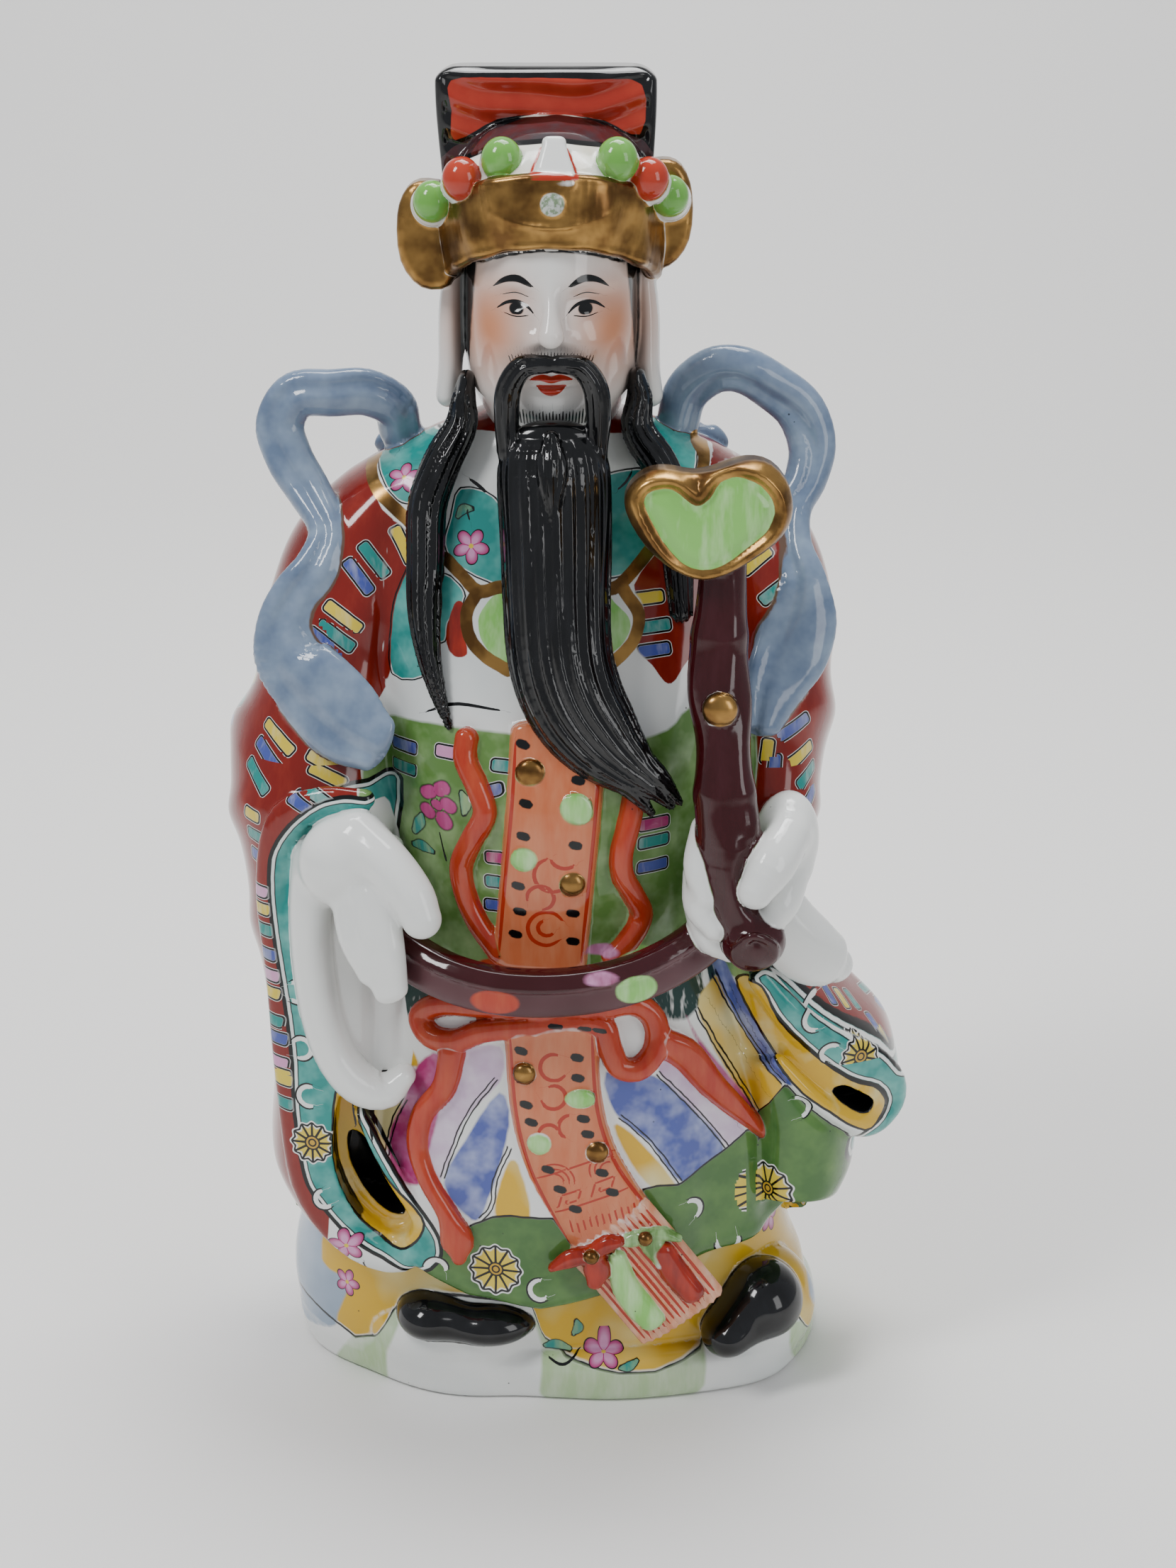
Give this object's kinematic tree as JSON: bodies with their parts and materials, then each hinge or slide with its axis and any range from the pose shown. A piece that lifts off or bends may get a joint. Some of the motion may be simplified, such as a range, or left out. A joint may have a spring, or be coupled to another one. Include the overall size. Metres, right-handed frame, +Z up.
{
  "type": "porcelain lu xing figure",
  "caption": "Standing court official in a tall hat and wide-sleeved robe, with a long beard, holding a sceptre and belt hoop; cast and glazed as one porcelain piece on a low base.",
  "frame": {"origin": "on the flat underside, below the middle of the figure", "axes": "+Z up along the figure, -Y the way the figure faces, +X towards the figure's own left hand with the sceptre"},
  "size_m": [0.2078, 0.1376, 0.4],
  "materials": {
    "porcelain": "glossy white glaze painted in enamel colours"
  },
  "bodies": {
    "root": {"lu_xing_figure": "porcelain"}
  },
  "joints": []
}
